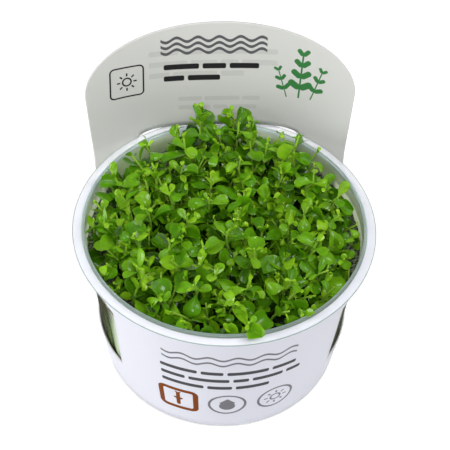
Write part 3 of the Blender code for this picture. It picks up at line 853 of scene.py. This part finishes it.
def leaf_points(leaf):
    """Points of closed leaves, and their place along and across the blade.

    The centre line leaves the stem at an angle and bends down evenly. The blade's section is a thin lens,
    folded by the distance from the midrib and cupped by its square. Its twist and sweep grow outwards.
    """
    count = len(leaf["length"])
    steps = np.append(LEAF_STATIONS, 1.0)
    length = leaf["length"][:, None]
    slope = leaf["rise"][:, None] - leaf["arch"][:, None] * steps
    outward, upward = leaf["outward"][:, None], leaf["upward"][:, None]
    forward = np.cos(slope)[..., None] * outward + np.sin(slope)[..., None] * upward
    normal = np.cos(slope)[..., None] * upward - np.sin(slope)[..., None] * outward
    side = np.cross(leaf["upward"], leaf["outward"])[:, None]
    spans = np.diff(steps, prepend=0)[:, None] * (forward + np.roll(forward, 1, axis=1)) / 2
    centre = leaf["foot"][:, None] + length[..., None] * np.cumsum(spans, axis=1)
    centre = centre + side * (leaf["sweep"][:, None] * length * steps**2)[..., None]
    turn = leaf["twist"][:, None] * steps
    across_way = np.cos(turn)[..., None] * side + np.sin(turn)[..., None] * normal
    up_way = np.cos(turn)[..., None] * normal - np.sin(turn)[..., None] * side
    half = (leaf["width"][:, None] / 2 * leaf_width(steps))[..., None]
    across = half * LEAF_ACROSS
    thick = LEAF_THICKNESS / 2 * np.minimum(leaf["width"] / THIN_LEAF_WIDTH, 1)[:, None, None]
    hollow = leaf["cup"][:, None, None] * LEAF_ACROSS**2 + leaf["fold"][:, None, None] * np.abs(LEAF_ACROSS)
    lift = thick * LEAF_FACE * (1 - 0.4 * steps[:, None]) + half * hollow
    rings = centre[:, :-1, None] + across_way[:, :-1, None] * across[:, :-1, :, None]
    rings = rings + up_way[:, :-1, None] * lift[:, :-1, :, None]
    points = np.concatenate([rings.reshape(count, -1, 3), centre[:, :1], centre[:, -1:]], axis=1)
    blade = np.zeros(points.shape)
    blade[:, :-2, 0] = np.repeat(LEAF_STATIONS, len(LEAF_ACROSS))
    blade[:, :-2, 1] = np.tile(LEAF_ACROSS, len(LEAF_STATIONS))
    blade[:, -1, 0] = 1
    blade[:, :, 2] = leaf["age"][:, None]
    return points, blade


def stem_line(shoot, share):
    """Points of the stems at shares of their rise.

    They are straight below the mat, then lean by a power of the share, and half a sine wave bows them aside.
    """
    lean = np.maximum(share, 0) ** STEM_BEND
    line = shoot["foot"][:, None] + (shoot["top"] - shoot["foot"])[:, None] * lean[..., None]
    line = line + shoot["bow"][:, None] * np.sin(math.pi * np.clip(share, 0, 1))[..., None]
    line[..., 2] = shoot["foot"][:, None, 2] + shoot["rise"][:, None] * share
    return line


def stem_points(shoot):
    """Points of closed stems: six-sided rings along the stem's line, thinner towards the tip."""
    count = len(shoot["rise"])
    part = np.linspace(0, 1, STEM_RINGS)
    share = shoot["start"][:, None] * (1 - part) + part
    line = stem_line(shoot, share)
    along = unit(np.gradient(line, axis=1))
    ahead = np.stack([np.cos(shoot["heading"]), np.sin(shoot["heading"]), 0 * shoot["heading"]], -1)[:, None]
    aside = unit(np.cross(along, ahead))
    ahead = np.cross(aside, along)
    angles = np.arange(STEM_SIDES) * math.tau / STEM_SIDES
    radius = STEM_RADIUS * (1.15 - 0.45 * part)[:, None, None] * shoot["size"][:, None, None, None]
    ring = np.cos(angles)[:, None] * ahead[:, :, None] + np.sin(angles)[:, None] * aside[:, :, None]
    rings = line[:, :, None] + radius * ring
    points = np.concatenate([rings.reshape(count, -1, 3), line[:, :1], line[:, -1:]], axis=1)
    blade = np.zeros(points.shape)
    blade[:, :-2, 0] = np.repeat(part, STEM_SIDES)
    blade[:, -1, 0] = 1
    blade[:, :, 2] = 0.5
    return points, blade


def grow_leaves(shoot, levels, draw):
    """Leaves of every shoot: at each level two leaves stand opposite, a quarter turn from the level below.

    A level's age is its count from the tip plus the shoot's phase. Its distance below the tip goes by age
    squared over age plus two. Its leaves lengthen by one minus a bell curve of age, and open from upright to
    nearly flat.
    """
    leaves = defaultdict(list)
    count = len(shoot["rise"])
    for level in range(levels):
        age = shoot["phase"] + level
        below_tip = INTERNODE * shoot["stretch"] * age**2 / (age + 2)
        share = 1 - below_tip / shoot["rise"]
        length = LEAF_LENGTH * (BUD_LENGTH + (1 - BUD_LENGTH) * (1 - np.exp(-((age / GROWING_AGE) ** 2))))
        foot = stem_line(shoot, share[:, None])[:, 0]
        below = stem_line(shoot, share[:, None] - STEM_STEP)[:, 0]
        upward = unit(unit(foot - below) + np.array([0, 0, STEM_UPWARD]) + shoot["nod"])
        for side in (0, 1):
            turn = shoot["heading"] + level * math.pi / 2 + side * math.pi
            turn = turn + draw.normal(0, TURN_SPREAD, count)
            outward = np.stack([np.cos(turn), np.sin(turn), 0 * turn], -1)
            outward = unit(outward - upward * (outward * upward).sum(-1, keepdims=True))
            leaves["foot"].append(foot)
            leaves["outward"].append(outward)
            leaves["upward"].append(upward)
            scatter = draw.normal(1, LENGTH_SPREAD, count).clip(*LENGTH_LIMITS)
            leaves["length"].append(length * shoot["size"] * scatter)
            scatter = draw.normal(1, WIDTH_SPREAD, count)
            leaves["width"].append(leaves["length"][-1] * (WIDTH_SHARE + WIDTH_GAIN * age) * scatter)
            opened = np.radians(OPEN_RISE + BUD_RISE * np.exp(-age / OPENING_AGE))
            leaves["rise"].append(opened + draw.normal(0, RISE_SPREAD, count))
            for key, middle, spread in LEAF_DRAWS:
                leaves[key].append(draw.normal(middle, spread, count))
            leaves["age"].append(np.clip(age / OLD_AGE + draw.normal(0, AGE_SPREAD, count), 0, 1))
    return {key: np.concatenate(values) for key, values in leaves.items()}


def keep_inside(points):
    """Holds points below the bead inside the cup's wall, and all of them in front of the board."""
    radius = np.hypot(points[:, 0], points[:, 1])
    over = np.clip((points[:, 2] - OVERHANG_FOOT) / OVERHANG_RISE, 0, 1)
    limit = cup_radius(np.minimum(points[:, 2], RIM_UNDERSIDE)) - LEAF_CLEAR + LEAF_OVERHANG * over
    points[:, :2] *= np.minimum(limit / np.maximum(radius, MM), 1)[:, None]
    height = np.maximum(points[:, 2], SLOT_HEAD)
    face = board_points(points[:, 0] / BOARD_HALF_WIDTH, height)[:, 1]
    points[:, 1] = np.minimum(points[:, 1], face - BOARD_CLEAR)
    return points


def plant_mesh(name, shoot, leaves):
    """One mesh of closed stems and leaves, with the place on the blade as a point attribute."""
    stem_place, stem_blade = stem_points(shoot)
    leaf_place, leaf_blade = leaf_points(leaves)
    stem_quads, stem_ends = body_faces(STEM_RINGS, STEM_SIDES, len(stem_place))
    leaf_quads, leaf_ends = body_faces(len(LEAF_STATIONS), len(LEAF_ACROSS), len(leaf_place))
    points = np.concatenate([stem_place.reshape(-1, 3), leaf_place.reshape(-1, 3)])
    shift = stem_place.shape[0] * stem_place.shape[1]
    faces = [stem_quads, stem_ends, leaf_quads + shift, leaf_ends + shift]
    mesh = mesh_from(name, keep_inside(points), faces, LEAF_SHARP_DEGREES)
    blade = mesh.attributes.new("blade", "FLOAT_VECTOR", "POINT")
    values = np.concatenate([stem_blade.reshape(-1, 3), leaf_blade.reshape(-1, 3)])
    blade.data.foreach_set("vector", values.astype(np.float32).ravel())
    kinds = np.repeat([0, 0, 1, 1], [len(group) for group in faces])
    mesh.polygons.foreach_set("material_index", kinds.astype(np.int32))
    return mesh


def soft_leaf():
    """A young leaf: a wet-looking skin over soft flesh, yellow-green when new and deeper when old. The
    near-black green of the oldest, lowest pairs is painted shade deep in the mat.

    Its veins are too fine to show, so a coarser grain stands for them.
    """
    made, tree = start_material("Soft leaf")
    blade = add_node(tree, "Attribute", {"attribute_name": "blade"}).outputs["Vector"]
    along, across, age = add_node(tree, "SeparateXYZ", links={0: blade}).outputs
    # The oldest stop is near black: the leaves' own deeper green with painted shade on top, for the low pairs
    # deep in the mat.
    stops = [(0, "#9ccf24"), (0.5, "#59970b"), (1, "#0d2e01")]
    tones_and_painted_shade = add_node(tree, "ValToRGB", {"stops": stops}, {"Fac": age})
    aside = add_node(tree, "Math", {"operation": "ABSOLUTE"}, {0: across})
    margin = add_node(tree, "MapRange", {"From Min": 0.75, "From Max": 1.05, "To Max": 0.45},
                      {"Value": aside})
    edged = add_node(tree, "Mix", {"data_type": "RGBA", 7: linear("#78ac28")}, {0: margin, 6: tones_and_painted_shade})
    rib = add_node(tree, "MapRange", {"From Min": 0.16, "From Max": 0.0, "To Max": 0.6}, {"Value": aside})
    fade = add_node(tree, "MapRange", {"From Min": 0.8, "From Max": 0.1}, {"Value": along})
    rib_share = add_node(tree, "Math", {"operation": "MULTIPLY"}, {0: rib, 1: fade})
    ribbed = add_node(tree, "Mix", {"data_type": "RGBA", 7: linear("#90ba4c")}, {0: rib_share, 6: edged})
    spot = add_node(tree, "TexCoord").outputs["Object"]
    cloud = add_node(tree, "TexNoise", {"Scale": 1 / LEAF_CLOUD, "Detail": 3.0}, {"Vector": spot})
    limits = {"From Min": 0.3, "From Max": 0.7, "To Min": 0.8, "To Max": 1.15}
    shade = add_node(tree, "MapRange", limits, {"Value": cloud})
    mix = {"data_type": "RGBA", "blend_type": "MULTIPLY", 0: 1.0}
    colour = add_node(tree, "Mix", mix, {6: ribbed, 7: shade})
    grain = add_node(tree, "TexNoise", {"Scale": 1 / LEAF_GRAIN, "Detail": 2.0}, {"Vector": spot})
    close_material(tree, {
        "Roughness": 0.35,
        "IOR": 1.42,
        "Specular IOR Level": 0.1,
        "Coat Weight": 0.8,
        "Coat Roughness": 0.05,
        "Coat IOR": 1.33,
        "Subsurface Weight": 0.3,
        "Subsurface Radius": (0.5, 1.0, 0.15),
        "Subsurface Scale": LEAF_SCATTER,
    }, colour, grain, 0.25, LEAF_GRAIN_DEPTH)
    return made


def pale_stem():
    """A juicy young stem: pale yellow-green, glossy, and darker green towards its foot, partly painted shade
    down in the mat.
    """
    made, tree = start_material("Pale stem")
    blade = add_node(tree, "Attribute", {"attribute_name": "blade"}).outputs["Vector"]
    along = add_node(tree, "SeparateXYZ", links={0: blade}).outputs[0]
    # The dark foot stop is partly the stem's own greener base and partly painted shade down in the mat.
    tones_and_painted_shade = add_node(tree, "ValToRGB", {"stops": [(0, "#2f5f08"), (1, "#9dc646")]}, {"Fac": along})
    shader = add_node(tree, "BsdfPrincipled", {
        "Roughness": 0.3,
        "IOR": 1.4,
        "Specular IOR Level": 0.25,
        "Subsurface Weight": 0.3,
        "Subsurface Radius": (0.6, 1.0, 0.2),
        "Subsurface Scale": STEM_SCATTER,
    }, {"Base Color": tones_and_painted_shade})
    add_node(tree, "OutputMaterial", links={"Surface": shader})
    return made


plant_materials = [pale_stem(), soft_leaf()]


# Sprigs
# The taller shoots that stand out of the mat, one for each sprig of the frame, on the same feet and as tall.
# Their stems go on down through the mat to the medium.
SPRIG_COUNT = 44
SPRIG_SEED = 5000
STAND_RADIUS = 38.5 * MM
SPRIG_LEAN = 4.0 * MM
SPRIG_SPREAD = (0, 3.0 * MM)
SPRIG_SIZES = (0.9, 1.06)
SPRIG_PHASES = (0.45, 0.95)
SPRIG_STRETCH = 0.85
SPRIG_BOW = 0.9 * MM
SPRIG_NOD = 0.2
SPRIG_FRONT_NOD = -0.1
GOLDEN_ANGLE = math.pi * (3 - math.sqrt(5))
SPRIG_LEVELS = 5
SPRIG_STEM_FOOT = MEDIUM_TOP - MM


def sprig_shoot(index):
    """A sprig on a golden-angle spiral, up to the canopy and past it by one seeded draw, and its habit."""
    draw = random.Random(SPRIG_SEED + index)
    reach = math.sqrt((index + 0.5) / SPRIG_COUNT)
    angle = index * GOLDEN_ANGLE
    outward = np.array([math.cos(angle), math.sin(angle), 0])
    foot = outward * STAND_RADIUS * reach
    top = foot + outward * SPRIG_LEAN * reach**2
    top[2] = canopy(top[0], top[1]) + draw.uniform(*SPRIG_SPREAD)
    heading = draw.uniform(0, math.pi)
    size = draw.uniform(*SPRIG_SIZES)
    foot[2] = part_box(f"sprig_{index + 1:02d}")[0].z
    rise = top[2] - foot[2]
    shoot = {
        "foot": foot,
        "top": top,
        "rise": rise,
        "start": (SPRIG_STEM_FOOT - foot[2]) / rise,
        "heading": heading,
        "size": size,
        "phase": draw.uniform(*SPRIG_PHASES),
        "stretch": SPRIG_STRETCH,
        "bow": [draw.gauss(0, SPRIG_BOW), draw.gauss(0, SPRIG_BOW), 0],
        "nod": [draw.gauss(0, SPRIG_NOD), draw.gauss(SPRIG_FRONT_NOD, SPRIG_NOD), 0],
    }
    return {key: np.array([value]) for key, value in shoot.items()}


for index in range(SPRIG_COUNT):
    name = f"sprig_{index + 1:02d}"
    shoot = sprig_shoot(index)
    leaves = grow_leaves(shoot, SPRIG_LEVELS, np.random.default_rng(SPRIG_SEED + index))
    add_piece(f"{name}_shoot", plant_mesh(f"{name}_shoot", shoot, leaves), plant_materials, [name])


# Mat
# The hundreds of shoots between the sprigs, grown so close that their leaves roof the medium over. They are
# joined in three pieces from front to back, over a layer of old stems and roots; the layer's near-black
# middle is painted shade.
MAT_SHOOTS = 300
MAT_SEED = 77
MAT_RADIUS = 42.6 * MM
MAT_CORNER_INSET = 6.5 * MM
MAT_BACK_INSET = 1.2 * MM
MAT_TOP_RADIUS = 43.8 * MM
MAT_DEPTH = (0.5 * MM, 10.0 * MM)
MAT_SPIRAL_START = 0.4
MAT_FOOT_SCATTER = 1.1 * MM
MAT_TOP_SCATTER = 4.6 * MM
MAT_LEAN = 3.0 * MM
MAT_SIZES = (0.66, 1.12)
MAT_PHASES = (0.3, 1.2)
MAT_STRETCHES = (0.75, 1.25)
MAT_BOW = 1.7 * MM
MAT_NOD = 0.32
MAT_LEVELS = 4
MAT_FOOT = MEDIUM_TOP - 0.5 * MM
THATCH_FOOT = 45.0 * MM
THATCH_TOP = 48.6 * MM
THATCH_SIDE_FOOT = 46.0 * MM
THATCH_SHOULDER = 0.3 * MM
THATCH_CLIMB = 2.4 * MM
THATCH_GRAIN = 0.7 * MM
THATCH_GRAIN_DEPTH = 0.4 * MM
THATCH_PAINTED_SHADE_RADIUS = 37 * MM
GREY_THATCH_RADIUS = 43 * MM


def mat_shoots(draw):
    """Feet on a golden-angle spiral with a small scatter, and tops that lean outwards up to the canopy."""
    index = np.arange(MAT_SHOOTS)
    reach = np.sqrt((index + 0.5) / MAT_SHOOTS)
    angle = index * GOLDEN_ANGLE + MAT_SPIRAL_START
    behind = np.maximum(np.sin(angle), 0)
    corners = np.where(behind > 0, np.abs(np.sin(2 * angle)), 0)
    edge = MAT_RADIUS - MAT_CORNER_INSET * corners - MAT_BACK_INSET * behind
    outward = np.stack([np.cos(angle), np.sin(angle), 0 * angle], -1)
    foot = outward * (edge * reach)[:, None]
    foot[:, :2] += draw.normal(0, MAT_FOOT_SCATTER, (MAT_SHOOTS, 2))
    top = foot + outward * (MAT_LEAN * reach**2 * (1 - corners))[:, None]
    top[:, :2] += draw.normal(0, MAT_TOP_SCATTER, (MAT_SHOOTS, 2))
    top[:, :2] *= np.minimum(MAT_TOP_RADIUS / np.hypot(top[:, 0], top[:, 1]), 1)[:, None]
    top[:, 2] = canopy(top[:, 0], top[:, 1]) - draw.uniform(*MAT_DEPTH, MAT_SHOOTS)
    foot[:, 2] = MAT_FOOT
    return {
        "foot": foot,
        "top": top,
        "rise": top[:, 2] - foot[:, 2],
        "start": np.zeros(MAT_SHOOTS),
        "heading": draw.uniform(0, math.pi, MAT_SHOOTS),
        "size": draw.uniform(*MAT_SIZES, MAT_SHOOTS),
        "phase": draw.uniform(*MAT_PHASES, MAT_SHOOTS),
        "stretch": draw.uniform(*MAT_STRETCHES, MAT_SHOOTS),
        "bow": draw.normal(0, MAT_BOW, (MAT_SHOOTS, 3)) * (1, 1, 0),
        "nod": draw.normal(0, MAT_NOD, (MAT_SHOOTS, 3)) * (1, 1, 0),
    }


def thatch_points():
    """A lumpy layer between the medium and the shoots.

    It is flat in the middle and climbs the wall by the tenth power of the radius. Two sets of crossed sine
    waves, whose phases sway, make the lumps.
    """
    edge = cup_radius(THATCH_TOP) - MEDIUM_CLEAR
    foot = cup_radius(THATCH_FOOT) - MEDIUM_CLEAR
    heights = np.linspace(THATCH_SIDE_FOOT, THATCH_TOP, 5)
    profile = [(0, THATCH_FOOT), (foot * 0.5, THATCH_FOOT), (foot, THATCH_FOOT)]
    profile += [(cup_radius(height) - MEDIUM_CLEAR, height) for height in heights]
    profile += [(radius, THATCH_TOP) for radius in np.linspace(edge - THATCH_SHOULDER, 0, 60)]
    points, faces = turned(profile, MEDIUM_STEPS)
    x, y = points[:, 0], points[:, 1]
    top = points[:, 2] > THATCH_TOP - 0.1 * MM
    climb = THATCH_CLIMB * (np.hypot(x, y) / edge) ** 10
    coarse = np.sin(x / (1.7 * MM) + np.sin(y / (1.1 * MM))) * np.sin(y / (1.5 * MM) + np.sin(x / (0.9 * MM)))
    fine = np.sin(x / (0.42 * MM) + 2 * np.sin(y / (0.8 * MM))) * np.sin(y / (0.37 * MM))
    lumps = 0.5 * coarse + 0.35 * fine
    points[top, 2] += climb[top] + lumps[top] * MM
    return points, faces


def matted_roots_and_painted_shade():
    """Old stems, roots and dried gel, grey with pale specks at the wall; near black-green painted shade in
    the middle.
    """
    made, tree = start_material("Matted roots and painted shade")
    spot = add_node(tree, "TexCoord").outputs["Object"]
    grains = add_node(tree, "TexNoise", {"Scale": 1 / THATCH_GRAIN, "Detail": 3.0}, {"Vector": spot})
    # The near black-green tones of the middle are painted shade between the shoots.
    inner = add_node(tree, "ValToRGB", {"stops": [(0.4, "#060f02"), (0.7, "#1a310b")]}, {"Fac": grains})
    outer = add_node(tree, "ValToRGB", {"stops": [(0.42, "#2c3320"), (0.66, "#97a085")]}, {"Fac": grains})
    flat = add_node(tree, "VectorMath", {"operation": "MULTIPLY", 1: (1, 1, 0)}, {0: spot})
    radius = add_node(tree, "VectorMath", {"operation": "LENGTH"}, {0: flat})
    edge = add_node(tree, "MapRange", {"From Min": THATCH_PAINTED_SHADE_RADIUS, "From Max": GREY_THATCH_RADIUS},
                    {"Value": radius})
    colour = add_node(tree, "Mix", {"data_type": "RGBA"}, {0: edge, 6: inner, 7: outer})
    settings = {"Roughness": 0.85, "Specular IOR Level": 0.1}
    close_material(tree, settings, colour, grains, 0.7, THATCH_GRAIN_DEPTH)
    return made


points, faces = thatch_points()
add_piece("mat_thatch", mesh_from("mat_thatch", points, faces), [matted_roots_and_painted_shade()], ["carpet"])

draw = np.random.default_rng(MAT_SEED)
mat = mat_shoots(draw)
order = np.argsort(mat["foot"][:, 1])
for part, chosen in enumerate(np.array_split(order, 3)):
    name = ("mat_front", "mat_middle", "mat_back")[part]
    shoot = {key: values[chosen] for key, values in mat.items()}
    leaves = grow_leaves(shoot, MAT_LEVELS, draw)
    add_piece(name, plant_mesh(name, shoot, leaves), plant_materials, ["carpet"])


# Floor and light
# A white sweep under four soft boxes: a low one on the left, a high one on the right, a small one in front
# and a large one overhead, in a dim white surround.
FLOOR_HALF = 3.0
FLOOR_DROP = 0.05 * MM


def add_floor():
    """A wide white plane just below the cup's foot."""
    corners = np.array([(-1, -1, 0), (1, -1, 0), (1, 1, 0), (-1, 1, 0)])
    points = corners * FLOOR_HALF - (0, 0, FLOOR_DROP)
    made = bpy.data.objects.new("floor", mesh_from("floor", points, [np.array([[0, 1, 2, 3]])]))
    bpy.context.scene.collection.objects.link(made)
    material, tree = start_material("White paper sweep")
    shader = add_node(tree, "BsdfPrincipled", {
        "Base Color": linear("#fafafa"),
        "Roughness": 0.9,
        "Emission Color": (1, 1, 1, 1),
        "Emission Strength": 0.31,
    })
    add_node(tree, "OutputMaterial", links={"Surface": shader})
    made.data.materials.append(material)


def add_soft_box(name, place, size, power):
    """A square area light that faces the cup's rim."""
    light = bpy.data.lights.new(name, "AREA")
    light.size = size
    light.energy = power
    made = bpy.data.objects.new(name, light)
    aim = Vector((0, 0, RIM_TOP)) - Vector(place)
    made.location = place
    made.rotation_euler = aim.to_track_quat("-Z", "Y").to_euler()
    bpy.context.scene.collection.objects.link(made)


add_floor()
add_soft_box("left box", (-1.0, -0.15, 0.4), 0.5, 6.2)
add_soft_box("right box", (0.7, -0.2, 1.0), 0.5, 5.0)
add_soft_box("front box", (-0.1, -0.8, 1.0), 0.35, 4.2)
add_soft_box("top box", (0.0, -0.05, 1.2), 0.7, 2.5)
world = bpy.data.worlds.new("Pale surround")
world.use_nodes = True
surround = world.node_tree.nodes["Background"]
surround.inputs["Color"].default_value = (1, 1, 1, 1)
surround.inputs["Strength"].default_value = 0.2
bpy.context.scene.world = world
bpy.context.scene.view_settings.view_transform = "Standard"
